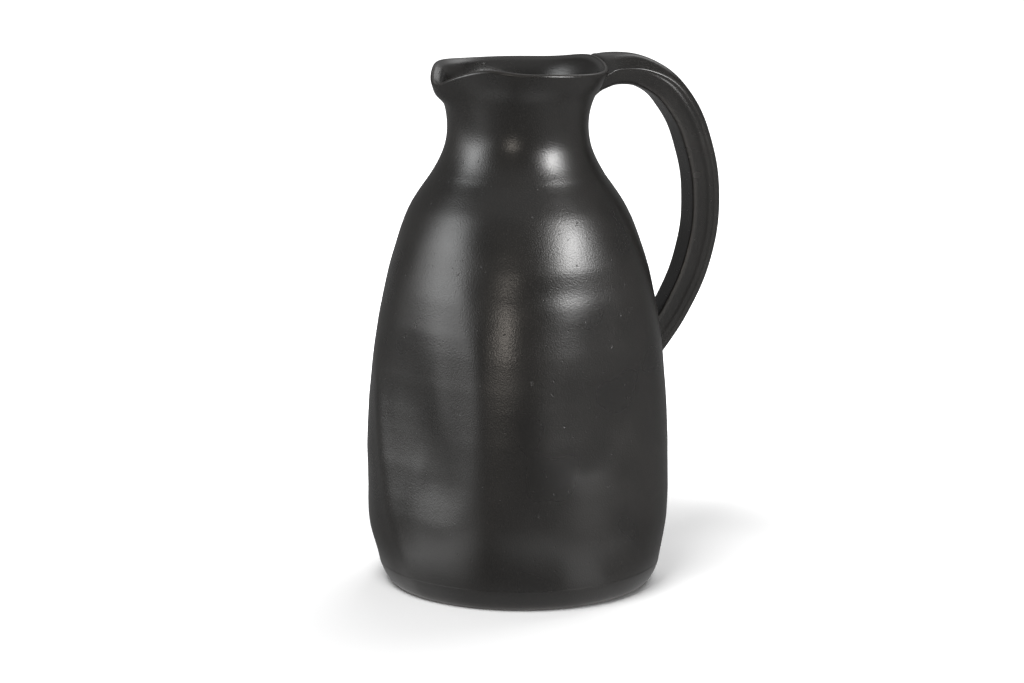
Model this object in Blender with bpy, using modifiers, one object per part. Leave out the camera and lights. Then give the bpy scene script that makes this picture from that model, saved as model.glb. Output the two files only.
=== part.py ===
"""Stoneware carafe: a thrown jug with a pinched belly, a pulled pouring lip and a strap handle.

Metres, +Z up. The origin is the middle of the flat underside. The handle points to +X and the
pouring lip to -X.
"""

from math import atan2, cos, degrees, exp, hypot, pi, radians, sin, sqrt

import bmesh
import bpy
from mathutils import Vector

# Turned body: (height, outer radius) of the wall, from the foot corner to the lip
WALL_STATIONS = (
    (0.0100, 0.0611),
    (0.0300, 0.0650),
    (0.0550, 0.0656),
    (0.0900, 0.0638),
    (0.1200, 0.0600),
    (0.1450, 0.0542),
    (0.1650, 0.0462),
    (0.1800, 0.0366),
    (0.1950, 0.0307),
    (0.2060, 0.0309),
    (0.2130, 0.0329),
    (0.2180, 0.0355),
    (0.2215, 0.0371),
    (0.2235, 0.0379),
)
WALL_THICKNESS = (
    (0.0300, 0.0060),
    (0.0900, 0.0052),
    (0.1500, 0.0048),
    (0.1950, 0.0042),
    (0.2228, 0.0038),
)
RIM_HEIGHT = 0.2250

# Thin rounded lip, and the bevelled mouth inside it: (height, radius)
LIP_RADIUS = 0.0012
LIP_OUTER_LEAN = -16
LIP_INNER_LEAN = 118
MOUTH_STATIONS = (
    (0.2130, 0.0290),
    (0.2172, 0.0304),
    (0.2205, 0.0319),
    (0.2234, 0.0340),
    (0.22486, 0.03619),
)

# Floor slab: a shallow dish that the wall stands in
BASE_CONTACT_RADIUS = 0.0545
BASE_CORNER_PULL = (0.0583, 0.0008)
FLOOR_THICKNESS = 0.0065
FLOOR_SEAM = 0.0095
SEAT_OUTER_RADIUS = 0.0572
SEAT_INNER_RADIUS = 0.0515
INNER_FILLET_TOP = 0.0240
INNER_FILLET_MIDDLE = 0.0125
INNER_FILLET_LEAN = 0.0022

# Luted seams of the body sections, and the lap that centres one section on the next
SHOULDER_SEAM = 0.1420
NECK_SEAM = 0.1793
LAP = 0.0040
GAP = 0.0003
ROOM_ABOVE_RIM = 0.0200

# The foot stands a little off the axis of the neck
FOOT_SHIFT = (0.0009, -0.0004)
FOOT_SHIFT_TOP = 0.0450

# Marks of the hands that pinched the soft wall: azimuth of the middle and its lean per metre of
# height in degrees, height of the middle, reach to the left and right in degrees and up and down
# in metres, and depth
HAND_MARKS = (
    (-157.7, -101, 0.0806, 21, 21.3, 0.0369, 0.0355, 0.0046),
    (-142, -171, 0.0545, 18.4, 10.4, 0.0193, 0.0152, 0.0018),
    (-159, 147, 0.1422, 32, 29.7, 0.0176, 0.0433, 0.0013),
    (-71, -75, 0.0906, 20.5, 18.5, 0.0391, 0.0485, 0.0044),
    (-94, 81, 0.0808, 11, 7.4, 0.0187, 0.0454, 0.0015),
    (-81.7, -12, 0.0632, 12.2, 23.3, 0.0230, 0.0285, 0.0026),
)

# Hand-pulled rim: azimuth and spread in degrees, and how far the rim is lifted or drawn out there
RIM_BLEND_START = 0.2040
RIM_LIFTS = (
    (180, 18.5, -0.0052),
    (-131, 20, 0.0031),
    (-95, 26, 0.0014),
    (-32, 24, -0.0006),
    (12, 24, 0.0027),
    (135, 24, 0.0011),
)
RIM_PULLS = (
    (180, 22, 0.0008),
    (154, 18, -0.0013),
    (-10, 40, 0.0009),
)

# Handle strap: (reach from the axis, height, scale of the section) along its middle line
STRAP_ROUTE = (
    (0.0320, 0.2193, 0.93),
    (0.0445, 0.2222, 0.93),
    (0.0613, 0.2184, 0.95),
    (0.0742, 0.2065, 0.98),
    (0.0833, 0.1868, 1.00),
    (0.0870, 0.1625, 1.00),
    (0.0837, 0.1385, 0.98),
    (0.0739, 0.1164, 0.94),
    (0.0583, 0.0947, 0.90),
)
STRAP_WIDTH = 0.0146
STRAP_THICKNESS = 0.0144
STRAP_SQUARENESS = 3.2

# Lutes: beads of clay pressed around the two roots of the strap
UPPER_LUTE = {"height": 0.2190, "half_width": 0.0078, "half_height": 0.0066, "radius": 0.0034}
LOWER_LUTE = {"height": 0.1010, "half_width": 0.0072, "half_height": 0.0088, "radius": 0.0032}
UPPER_LUTE_SWEEP = (-4, 184)
LOWER_LUTE_SWEEP = (0, 360)

# Mesh resolution
TURN_STEPS = 56
RING_SPACING = 0.0090
RIM_RING_SPACING = 0.0036
INNER_RING_SPACING = 0.0120
LIP_ARC_STEPS = 4
CORNER_STEPS = 5
SECTION_POINTS = 20
ROUTE_RESOLUTION = 4
LUTE_POINTS = 22
LUTE_BEVEL = 3
MERGE = 0.00001
SHARP_ANGLE = 40

# Surface values: colour, roughness
GLAZE = ((0.012, 0.011, 0.010, 1.0), 0.36)
HANDLE_GLAZE = ((0.012, 0.011, 0.010, 1.0), 0.32)
BASE_GLAZE = ((0.020, 0.018, 0.016, 1.0), 0.48)


# Curves and profiles


def smooth_value(stations, x):
    """Height of the cubic curve through the stations, with each slope taken from its neighbours."""
    last = len(stations) - 1
    x = min(max(x, stations[0][0]), stations[last][0])
    spans = [stations[k + 1][0] - stations[k][0] for k in range(last)]
    rises = [(stations[k + 1][1] - stations[k][1]) / spans[k] for k in range(last)]
    slopes = [rises[0]]
    for k in range(1, last):
        slopes.append((spans[k] * rises[k - 1] + spans[k - 1] * rises[k]) / (spans[k - 1] + spans[k]))
    slopes.append(rises[-1])
    k = next(k for k in range(last) if x <= stations[k + 1][0])
    t = (x - stations[k][0]) / spans[k]
    weight = eased(t)
    chord = stations[k][1] * (1 - weight) + stations[k + 1][1] * weight
    start_lean = t * (1 - t) ** 2 * spans[k] * slopes[k]
    end_lean = t * t * (1 - t) * spans[k] * slopes[k + 1]
    return chord + start_lean - end_lean


def outer_radius(z):
    return smooth_value(WALL_STATIONS, z)


def inner_radius(z):
    return outer_radius(z) - smooth_value(WALL_THICKNESS, z)


def seat_radius(seam):
    """Middle of the wall at a seam, where the two sections lap."""
    z = seam + LAP / 2
    return (outer_radius(z) + inner_radius(z)) / 2


def heights(low, high, spacing=RING_SPACING):
    count = max(1, round((high - low) / spacing))
    return [low + (high - low) * k / count for k in range(count + 1)]


def eased(t):
    t = min(max(t, 0.0), 1.0)
    return t * t * (3 - 2 * t)


def angle_between(a, b):
    return (a - b + pi) % (2 * pi) - pi


def rim_wave(waves, azimuth):
    total = 0.0
    for centre, spread, amount in waves:
        total += amount * exp(-(angle_between(azimuth, radians(centre)) / radians(spread)) ** 2)
    return total


def pinch_depth(azimuth, z):
    """How far the pinched wall is pressed in at a point of the belly."""
    total = 0.0
    for middle, lean, height, left, right, up, down, depth in HAND_MARKS:
        rise = z - height
        turn = degrees(angle_between(azimuth, radians(middle + lean * rise)))
        across = turn / (left if turn < 0 else right)
        along = rise / (down if rise < 0 else up)
        total += depth * exp(-across ** 2 - along ** 2)
    return total


def hand_shaped(point):
    """A point of the turned body after the belly is pinched and the rim is pulled."""
    radius = hypot(point.x, point.y)
    azimuth = atan2(point.y, point.x)
    z = point.z
    radius -= pinch_depth(azimuth, z)
    rise = (z - RIM_BLEND_START) / (RIM_HEIGHT - RIM_BLEND_START)
    blend = eased(rise)
    radius += blend * rim_wave(RIM_PULLS, azimuth)
    foot = eased(1 - z / FOOT_SHIFT_TOP)
    z += blend * rim_wave(RIM_LIFTS, azimuth)
    x = radius * cos(azimuth) + foot * FOOT_SHIFT[0]
    y = radius * sin(azimuth) + foot * FOOT_SHIFT[1]
    return Vector((x, y, z))


def lap_top(seam):
    """End of a section's profile: up the inner half of the wall and out to the seam."""
    seat = seat_radius(seam)
    top = seam + LAP
    return [(inner_radius(top), top), (seat, top), (seat, seam)]


def lap_foot(seam):
    """Start of the next section: the outer half reaches down over the lap below it."""
    seat = seat_radius(seam) + GAP
    low = seam + GAP
    return [(outer_radius(low), low), (seat, low), (seat, low + LAP), (inner_radius(low + LAP), low + LAP)]


def base_corner():
    """Rounded foot edge from the floor seam down to the flat underside."""
    top = Vector((outer_radius(FLOOR_SEAM), FLOOR_SEAM))
    pull = Vector(BASE_CORNER_PULL)
    low = Vector((BASE_CONTACT_RADIUS, 0.0))
    points = []
    for k in range(CORNER_STEPS + 1):
        t = k / CORNER_STEPS
        points.append(tuple(top * (1 - t) ** 2 + pull * 2 * t * (1 - t) + low * t * t))
    return points


def floor_profile():
    dish = [(0.0, FLOOR_THICKNESS), (SEAT_OUTER_RADIUS, FLOOR_THICKNESS), (SEAT_OUTER_RADIUS, FLOOR_SEAM)]
    return dish + base_corner() + [(0.0, 0.0)]


def belly_profile():
    low = FLOOR_SEAM + GAP
    outer = [(outer_radius(z), z) for z in reversed(heights(low, SHOULDER_SEAM))]
    tongue = SEAT_OUTER_RADIUS - GAP
    bottom = FLOOR_THICKNESS + GAP
    foot = [(tongue, low), (tongue, bottom), (SEAT_INNER_RADIUS, bottom)]
    fillet = [(inner_radius(INNER_FILLET_TOP) - INNER_FILLET_LEAN, INNER_FILLET_MIDDLE)]
    inner_heights = heights(INNER_FILLET_TOP, SHOULDER_SEAM + LAP, INNER_RING_SPACING)
    inner = [(inner_radius(z), z) for z in inner_heights]
    return outer + foot + fillet + inner[:-1] + lap_top(SHOULDER_SEAM)


def shoulder_profile():
    outer = [(outer_radius(z), z) for z in reversed(heights(SHOULDER_SEAM + GAP, NECK_SEAM))]
    inner = [(inner_radius(z), z) for z in heights(SHOULDER_SEAM + GAP + LAP, NECK_SEAM + LAP)]
    return outer[:-1] + lap_foot(SHOULDER_SEAM) + inner[1:-1] + lap_top(NECK_SEAM)


def neck_profile():
    wall_top = WALL_STATIONS[-1][0]
    mouth_low = MOUTH_STATIONS[0][0]
    lip_z = RIM_HEIGHT - LIP_RADIUS
    lip_r = outer_radius(wall_top) - LIP_RADIUS * cos(radians(LIP_OUTER_LEAN))
    outer = [(outer_radius(z), z) for z in reversed(heights(NECK_SEAM + GAP, wall_top, RIM_RING_SPACING))]
    inner = [(inner_radius(z), z) for z in heights(NECK_SEAM + GAP + LAP, mouth_low, RIM_RING_SPACING)]
    mouth = [(r, z) for z, r in MOUTH_STATIONS[1:]]
    lip = []
    for k in range(1, LIP_ARC_STEPS):
        turn = radians(LIP_INNER_LEAN + (LIP_OUTER_LEAN - LIP_INNER_LEAN) * k / LIP_ARC_STEPS)
        lip.append((lip_r + LIP_RADIUS * cos(turn), lip_z + LIP_RADIUS * sin(turn)))
    return outer[:-1] + lap_foot(NECK_SEAM) + inner[1:] + mouth + lip


def clearance_profile():
    """The closed body grown by the gap and carried up past the rim, to cut what stands against it."""
    top = RIM_HEIGHT + ROOM_ABOVE_RIM
    sides = heights(FLOOR_SEAM + GAP, SHOULDER_SEAM)
    sides += heights(SHOULDER_SEAM + GAP, NECK_SEAM)
    sides += heights(NECK_SEAM + GAP, WALL_STATIONS[-1][0], RIM_RING_SPACING)
    outer = [(outer_radius(z) + GAP, z) for z in reversed(sides)]
    return [(0.0, top), (outer[0][0], top)] + outer + [(0.0, FLOOR_SEAM + GAP)]


# Objects


def collection_named(name):
    made = bpy.data.collections.new(name)
    bpy.context.scene.collection.children.link(made)
    return made


def material(name, values):
    colour, roughness = values
    made = bpy.data.materials.new(name)
    made.use_nodes = True
    shader = made.node_tree.nodes["Principled BSDF"]
    shader.inputs["Base Color"].default_value = colour
    shader.inputs["Roughness"].default_value = roughness
    shader.inputs["Metallic"].default_value = 0.0
    return made


def made_mesh(source, name, group):
    """The evaluated shape of a profile or curve as a welded mesh object; the source is removed."""
    bpy.context.view_layer.update()
    evaluated = source.evaluated_get(bpy.context.evaluated_depsgraph_get())
    mesh = bpy.data.meshes.new_from_object(evaluated)
    welded = bmesh.new()
    welded.from_mesh(mesh)
    bmesh.ops.remove_doubles(welded, verts=welded.verts, dist=MERGE)
    welded.to_mesh(mesh)
    welded.free()
    mesh.name = name
    made = bpy.data.objects.new(name, mesh)
    made.matrix_world = source.matrix_world
    group.objects.link(made)
    bpy.data.objects.remove(source)
    return made


def turned(name, profile, closed, group):
    """A solid of revolution from a profile that runs down its outer side, then hand shaped."""
    drawing = bmesh.new()
    points = [drawing.verts.new((r, 0.0, z)) for r, z in profile]
    for a, b in zip(points, points[1:]):
        drawing.edges.new((a, b))
    if closed:
        drawing.edges.new((points[-1], points[0]))
    mesh = bpy.data.meshes.new(name + "_profile")
    drawing.to_mesh(mesh)
    drawing.free()
    source = bpy.data.objects.new(name + "_profile", mesh)
    group.objects.link(source)
    screw = source.modifiers.new("Turn", "SCREW")
    screw.axis = "Z"
    screw.steps = TURN_STEPS
    screw.render_steps = TURN_STEPS
    screw.use_merge_vertices = True
    screw.merge_threshold = MERGE
    made = made_mesh(source, name, group)
    for vertex in made.data.vertices:
        vertex.co = hand_shaped(vertex.co)
    return made


def strap_section(grow):
    """Rounded strap section across the handle, as a closed guide curve."""
    data = bpy.data.curves.new("strap_section", "CURVE")
    data.dimensions = "2D"
    spline = data.splines.new("POLY")
    spline.points.add(SECTION_POINTS - 1)
    for k, point in enumerate(spline.points):
        turn = -2 * pi * k / SECTION_POINTS
        reach = (abs(cos(turn)) ** STRAP_SQUARENESS + abs(sin(turn)) ** STRAP_SQUARENESS)
        reach **= -1 / STRAP_SQUARENESS
        across = (STRAP_WIDTH / 2 + grow) * cos(turn) * reach
        through = (STRAP_THICKNESS / 2 + grow) * sin(turn) * reach
        point.co = (across, through, 0.0, 1.0)
    spline.use_cyclic_u = True
    guide = bpy.data.objects.new("strap_section", data)
    guide.hide_render = True
    guide.display_type = "WIRE"
    return guide


def strap(name, grow, group, guides):
    """The handle strap swept along its route, its section grown by an amount."""
    guide = strap_section(grow)
    guides.objects.link(guide)
    data = bpy.data.curves.new(name, "CURVE")
    data.dimensions = "3D"
    data.resolution_u = ROUTE_RESOLUTION
    data.bevel_mode = "OBJECT"
    data.bevel_object = guide
    data.use_fill_caps = True
    spline = data.splines.new("BEZIER")
    spline.bezier_points.add(len(STRAP_ROUTE) - 1)
    for point, (reach, height, scale) in zip(spline.bezier_points, STRAP_ROUTE):
        point.co = (reach, 0.0, height)
        point.radius = scale
        point.handle_left_type = "AUTO"
        point.handle_right_type = "AUTO"
    source = bpy.data.objects.new(name + "_route", data)
    group.objects.link(source)
    made = made_mesh(source, name, group)
    bpy.data.objects.remove(guide)
    return made


def lute(name, sizes, sweep, group):
    """A bead of clay laid on the wall around a root of the strap."""
    closed = sweep[1] - sweep[0] == 360
    count = LUTE_POINTS
    steps = count if closed else count - 1
    data = bpy.data.curves.new(name, "CURVE")
    data.dimensions = "3D"
    data.bevel_depth = sizes["radius"]
    data.bevel_resolution = LUTE_BEVEL
    data.use_fill_caps = True
    spline = data.splines.new("POLY")
    spline.points.add(count - 1)
    for k, point in enumerate(spline.points):
        turn = radians(sweep[0] + (sweep[1] - sweep[0]) * k / steps)
        y = sizes["half_width"] * cos(turn)
        z = sizes["height"] - sizes["half_height"] * sin(turn)
        x = sqrt(outer_radius(z) ** 2 - y * y)
        point.co = (x, y, z, 1.0)
    spline.use_cyclic_u = closed
    source = bpy.data.objects.new(name + "_route", data)
    group.objects.link(source)
    return made_mesh(source, name, group)


def cut(piece, *cutters):
    for cutter in cutters:
        boolean = piece.modifiers.new("Seat on " + cutter.name, "BOOLEAN")
        boolean.operation = "DIFFERENCE"
        boolean.solver = "EXACT"
        boolean.object = cutter


def hidden(cutter):
    cutter.hide_render = True
    cutter.display_type = "WIRE"
    return cutter


def finished(piece, finish):
    piece.data.materials.clear()
    piece.data.materials.append(finish)
    piece.data.shade_smooth()
    piece.data.set_sharp_from_angle(angle=radians(SHARP_ANGLE))


def main():
    for old in list(bpy.data.objects):
        bpy.data.objects.remove(old)
    parts = collection_named("stoneware_carafe")
    cutters = collection_named("cutters")
    glaze = material("black_glaze", GLAZE)
    handle_glaze = material("black_glaze_handle", HANDLE_GLAZE)
    base_glaze = material("base_stoneware", BASE_GLAZE)

    finished(turned("floor_slab", floor_profile(), False, parts), base_glaze)
    finished(turned("belly_wall", belly_profile(), True, parts), glaze)
    finished(turned("shoulder_wall", shoulder_profile(), True, parts), glaze)
    finished(turned("neck_and_lip", neck_profile(), True, parts), glaze)

    body_room = hidden(turned("body_room", clearance_profile(), False, cutters))
    strap_room = hidden(strap("strap_room", GAP, cutters, cutters))

    handle = strap("handle_strap", 0.0, parts, cutters)
    cut(handle, body_room)
    finished(handle, handle_glaze)

    upper = lute("upper_handle_lute", UPPER_LUTE, UPPER_LUTE_SWEEP, parts)
    lower = lute("lower_handle_lute", LOWER_LUTE, LOWER_LUTE_SWEEP, parts)
    for bead in (upper, lower):
        cut(bead, body_room, strap_room)
        finished(bead, handle_glaze)


main()
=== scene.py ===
"""Looks of the stoneware carafe: detailed clay pieces, satin black glaze, studio light and camera.

Metres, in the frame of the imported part: +Z up, the handle towards +X, the pouring lip towards -X.
"""

from math import cos, pi, radians, sin, tan

import bpy
import numpy as np
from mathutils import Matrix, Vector


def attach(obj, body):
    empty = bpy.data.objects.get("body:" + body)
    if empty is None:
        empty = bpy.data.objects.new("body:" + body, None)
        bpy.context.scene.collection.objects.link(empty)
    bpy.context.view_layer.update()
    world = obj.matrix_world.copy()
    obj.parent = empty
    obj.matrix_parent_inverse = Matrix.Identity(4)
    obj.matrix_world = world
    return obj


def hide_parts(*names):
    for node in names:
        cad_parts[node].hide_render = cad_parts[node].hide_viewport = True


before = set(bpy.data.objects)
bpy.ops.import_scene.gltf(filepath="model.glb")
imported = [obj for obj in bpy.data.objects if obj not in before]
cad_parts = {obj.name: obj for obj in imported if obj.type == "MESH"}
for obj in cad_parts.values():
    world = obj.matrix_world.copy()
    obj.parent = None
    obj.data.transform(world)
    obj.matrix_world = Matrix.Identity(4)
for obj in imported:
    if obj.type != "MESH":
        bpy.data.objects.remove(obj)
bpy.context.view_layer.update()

# Turned body, as in the part but with a smoother mouth and inner fillet: (height, outer radius) and
# (height, wall thickness), then the lip, mouth (height, radius), foot, fillet, seams and lean
WALL_STATIONS = (
    (0.0100, 0.0611),
    (0.0300, 0.0650),
    (0.0550, 0.0656),
    (0.0900, 0.0638),
    (0.1200, 0.0600),
    (0.1450, 0.0542),
    (0.1650, 0.0462),
    (0.1800, 0.0366),
    (0.1950, 0.0307),
    (0.2060, 0.0309),
    (0.2130, 0.0329),
    (0.2180, 0.0355),
    (0.2215, 0.0371),
    (0.2235, 0.0379),
)
WALL_THICKNESS = (
    (0.0300, 0.0060),
    (0.0900, 0.0052),
    (0.1500, 0.0048),
    (0.1950, 0.0042),
    (0.2228, 0.0038),
)
RIM_HEIGHT = 0.2250
LIP_EDGE = 0.0012
LIP_OUTER_LEAN = radians(-16)
LIP_INNER_LEAN = radians(118)
MOUTH_STATIONS = (
    (0.2130, 0.0290),
    (0.2160, 0.0299),
    (0.2185, 0.0309),
    (0.2205, 0.0319),
    (0.2222, 0.0330),
    (0.2234, 0.0340),
    (0.22486, 0.03619),
)
BASE_CONTACT_RADIUS = 0.0545
BASE_CORNER_PULL = (0.0583, 0.0008)
FLOOR_THICKNESS = 0.0065
SEAT_OUTER_RADIUS = 0.0572
SEAT_INNER_RADIUS = 0.0515
INNER_FILLET_TOP = 0.0240
INNER_FILLET_MIDDLE = 0.0125
INNER_FILLET_LEAN = 0.0011
FLOOR_SEAM = 0.0095
SHOULDER_SEAM = 0.1420
NECK_SEAM = 0.1793
LAP = 0.0040
LAP_GAP = 0.0001
FOOT_SHIFT = (0.0009, -0.0004)
FOOT_SHIFT_TOP = 0.0450

# Marks of the hands that pinched the soft wall: azimuth of the middle and its lean per metre of
# height in degrees, height of the middle, reach to the left and right in degrees and up and down
# in metres, and depth; clay that was pushed outwards has a negative depth
HAND_MARKS = (
    (-159.2, -125, 0.0807, 21, 21.3, 0.0384, 0.0375, 0.0048),
    (-142, -97, 0.0567, 17, 11, 0.0196, 0.0155, 0.0021),
    (-161.5, 107, 0.1411, 42.7, 37.5, 0.0215, 0.0442, 0.0014),
    (-177.8, -303, 0.0648, 5, 5.4, 0.0393, 0.0565, -0.0008),
    (-155.6, 139, 0.0584, 5, 5, 0.0112, 0.0114, -0.0006),
    (-134.5, -167, 0.0876, 7.5, 7.2, 0.0382, 0.0245, 0.0009),
    (-143.4, 11, 0.0421, 9.8, 5.1, 0.0171, 0.0118, 0.00076),
    (-127.5, 0, 0.0800, 6, 5, 0.0330, 0.0400, -0.0004),
    (-112.8, -66, 0.0442, 8, 17.6, 0.0301, 0.0233, 0.0008),
    (-70, -115, 0.0938, 23.2, 17.9, 0.0392, 0.0577, 0.0041),
    (-93.4, 61, 0.0831, 10.4, 7, 0.0158, 0.0373, 0.0015),
    (-79.6, 56, 0.0645, 15, 18.5, 0.0261, 0.0283, 0.0032),
    (-94.5, -350, 0.1366, 25.4, 38.2, 0.0058, 0.0064, 0.0005),
    (-82.3, 50, 0.0538, 13.8, 11.2, 0.0061, 0.0120, -0.0005),
    (-61.3, -350, 0.0515, 5.7, 14, 0.0120, 0.0107, 0.0006),
    (158, 0, 0.1700, 32, 26, 0.0150, 0.0200, -0.0005),
    (158, 0, 0.1000, 32, 26, 0.0450, 0.0500, -0.0004),
    (158, 0, 0.0430, 32, 26, 0.0100, 0.0080, 0.0005),
    (158, 0, 0.0250, 32, 26, 0.0080, 0.0080, -0.0005),
    (158, 0, 0.0100, 40, 34, 0.0220, 0.0200, -0.0007),
    (168, 0, 0.2175, 25, 20, 0.0040, 0.0050, -0.0010),
)

# Rim, as in the part: azimuth and spread in degrees, and how far it is lifted or drawn out there
RIM_BLEND_START = 0.2040
RIM_LIFTS = (
    (180, 18.5, -0.0052),
    (-131, 20, 0.0031),
    (-95, 26, 0.0014),
    (-32, 24, -0.0006),
    (12, 24, 0.0027),
    (135, 24, 0.0011),
)
RIM_PULLS = (
    (180, 22, 0.0008),
    (154, 18, -0.0013),
    (-10, 40, 0.0009),
)

# Fine relief of the skin: rings round the wall (height, reach up and down, depth), throwing
# rings and the wobble of hand work
WALL_RINGS = (
    (FLOOR_SEAM, 0.0008, 0.0008, 0.00006),
    (SHOULDER_SEAM, 0.0024, 0.0024, 0.00003),
    (NECK_SEAM, 0.0016, 0.0016, 0.00003),
    (0.1840, 0.0100, 0.0035, 0.00025),
    (0.1735, 0.0030, 0.0110, -0.00025),
)
THROWING_RINGS = (
    (0.0073, 0.3, 1, 0.000007),
    (0.0119, 1.9, -1, 0.000013),
    (0.0193, 4.1, 2, 0.000028),
)
WOBBLES = (
    (2, 0.7, 21.0, 0.00016),
    (3, 2.9, -35.0, 0.00010),
    (5, 5.1, 48.0, 0.00005),
)

# Handle strap, as in the part: (reach, height, scale of the section) along its middle line
STRAP_ROUTE = (
    (0.0320, 0.2193, 0.93),
    (0.0445, 0.2222, 0.93),
    (0.0613, 0.2184, 0.95),
    (0.0742, 0.2065, 0.98),
    (0.0833, 0.1868, 1.00),
    (0.0870, 0.1625, 1.00),
    (0.0837, 0.1385, 0.98),
    (0.0739, 0.1164, 0.94),
    (0.0583, 0.0947, 0.90),
)
STRAP_HALF_WIDTH = 0.0073
STRAP_HALF_THICKNESS = 0.0072

# Halves of the strap's section, from the middle of its inner face round one side to the middle
# of its outer face: (across, through, share of the lighter handle edge colour, which is glaze
# thinning and a painted highlight along the inner-front edge, the crease and the outer rib).
# Beside the rim the front half has one soft crease and the back half is plain; further down the
# pulling hand left ribs on both
ROOT_SECTION = (
    (-0.25, -1.00, 0.0),
    (-0.52, -0.98, 0.0),
    (-0.72, -0.90, 0.0),
    (-0.86, -0.77, 0.0),
    (-0.94, -0.60, 0.0),
    (-0.98, -0.42, 0.0),
    (-1.00, -0.25, 0.0),
    (-1.00, -0.08, 0.0),
    (-1.00, 0.095, 0.0),
    (-0.99, 0.13, 0.0),
    (-0.965, 0.16, 0.0),
    (-0.75, 0.45, 0.0),
    (-0.50, 0.80, 0.0),
    (-0.20, 0.98, 0.0),
)
ROOT_BACK = (
    (0.25, -1.00, 0.0),
    (0.52, -0.98, 0.0),
    (0.72, -0.90, 0.0),
    (0.86, -0.77, 0.0),
    (0.94, -0.60, 0.0),
    (0.98, -0.42, 0.0),
    (1.00, -0.25, 0.0),
    (1.00, -0.10, 0.0),
    (1.00, 0.05, 0.0),
    (1.00, 0.20, 0.0),
    (0.99, 0.50, 0.0),
    (0.95, 0.78, 0.0),
    (0.80, 0.95, 0.0),
    (0.35, 1.00, 0.0),
)
# Painted highlight: the third column puts the handle's lighter edge colour on the inner-front edge,
# the crease and the outer rib
STRAP_SECTION = (
    (-0.30, -1.00, 0.0),
    (-0.66, -1.00, 0.0),
    (-0.88, -0.985, 0.1),
    (-0.96, -0.91, 0.7),
    (-0.95, -0.70, 0.0),
    (-0.935, -0.40, 0.0),
    (-0.935, -0.14, 0.0),
    (-1.00, 0.10, 0.05),
    (-0.93, 0.29, 0.0),
    (-0.99, 0.48, 0.20),
    (-0.86, 0.70, 0.0),
    (-0.72, 0.86, 0.0),
    (-0.50, 0.96, 0.0),
    (-0.20, 1.00, 0.0),
)
ROOT_SECTION_END = 0.10
RIBS_START = 0.28
ROOT_SPAN = 0.25
UPPER_HALF = 0.5

# Upper root: the strap's top runs level with the rim and tucks into its edge
ROOT_RISE = 0.0009
ROOT_TUCK = 0.0036
ROOT_TUCK_START = 0.0394
ROOT_TUCK_LENGTH = 0.0046
ROOT_LEVEL_START = 0.0375
ROOT_LEVEL_END = 0.0415
ROOT_FLARE = 0.50
ROOT_FLARE_START = 0.0370
ROOT_FLARE_END = 0.0560
ROOT_DEPTH = 0.0017

# Lutes, the clay pressed into the corners at the strap's ends
UPPER_LUTE_REACH = 0.0065
UPPER_LUTE_FOOT = 0.2055
UPPER_LUTE_WIDTH = 0.97
UPPER_LUTE_TAPER = 0.45
UPPER_LUTE_FULLNESS = 5
UPPER_LUTE_THINNING = 8
LOWER_LUTE_REACH = 0.0060
LOWER_LUTE_SPREAD = 0.0050
LOWER_LUTE_INNER = 0.30
LUTE_SINK = 0.00012
LUTE_DEPTH = 0.0009
LUTE_LEAN = 0.7

# Mesh resolution and smoothing: the rings beside a seam are given as distances from it, and
# HANDLE_DIVISOR sets the length of the Bezier handles along the strap
SEGMENTS = 288
SKIN_SPACING = 0.0014
RIM_SPACING = 0.0009
INNER_SPACING = 0.0032
SEAM_RINGS = (0.00015, 0.0004, 0.0008)
SEAM_CLEAR = 0.0014
DISH_RINGS = 14
DISH_MIDDLE_RADIUS = 0.004
FILLET_STEPS = 7
LIP_STEPS = 14
CORNER_STEPS = 14
ROUTE_STEPS = 60
MEETING_STEPS = 400
HANDLE_DIVISOR = 2.5614
STRAP_RINGS = 190
LUTE_STEPS = 18
LUTE_ROWS = 41
SECTION_PASSES = 2
CORNER_CUT = 0.25
SHARP_ANGLE = 42

# Colours: the glaze where it is thick, where it thins on edges, and the bare clay; on the handle
# the edge colour is lighter, glaze thinning with a painted highlight along its edges and rib
GLAZE_DARK = (0.0105, 0.0095, 0.0085, 1.0)
GLAZE_WARM = (0.0140, 0.0125, 0.0110, 1.0)
BODY_EDGE = (0.022, 0.018, 0.015, 1.0)
# Painted highlight: the handle's edge colour is a light grey so that its edges read as bright lines
HANDLE_EDGE_HIGHLIGHT = (0.080, 0.075, 0.070, 1.0)
FOOT_EDGE = (0.030, 0.023, 0.018, 1.0)
CLAY_DARK = (0.062, 0.046, 0.036, 1.0)
CLAY_LIGHT = (0.090, 0.068, 0.053, 1.0)

# Detail of the glaze: noise as scale and detail, the parts of it that count, and what they do;
# it starts to thin at a share of the way round the foot's corner, and ends in bare clay
CLOUD_NOISE = (38.0, 1.0)
SPECKLE_NOISE = (420.0, 3.0)
PEEL_NOISE = (1500.0, 1.0)
PIT_NOISE = (600.0, 0.0)
MOTTLE_RANGE = (0.20, 0.80)
PATCHY_RANGE = (0.35, 0.62)
PIT_RANGE = (0.79, 0.87)
PIT_DEPTH = 1.2
PIT_ROUGHNESS = 0.15
ROUGHNESS_SPREAD = 0.05
BUMP_DISTANCE = 0.00018
GLAZE_IOR = 1.6
CORNER_BARE_START = 2 / 7
BARE_RANGE = (0.80, 0.97)
CLAY_ROUGHNESS = 0.45

# Picture axes: the camera looks along AWAY, and RIGHT is the picture's right
CAMERA_AZIMUTH = radians(22)
RIGHT = Vector((cos(CAMERA_AZIMUTH), -sin(CAMERA_AZIMUTH), 0.0))
AWAY = Vector((sin(CAMERA_AZIMUTH), cos(CAMERA_AZIMUTH), 0.0))
CAMERA_PLACE = (-0.5924, -1.4593, 0.4368)
CAMERA_PITCH = radians(11.891)
LENS_MM = 130.45
SENSOR_MM = 36.0

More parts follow.
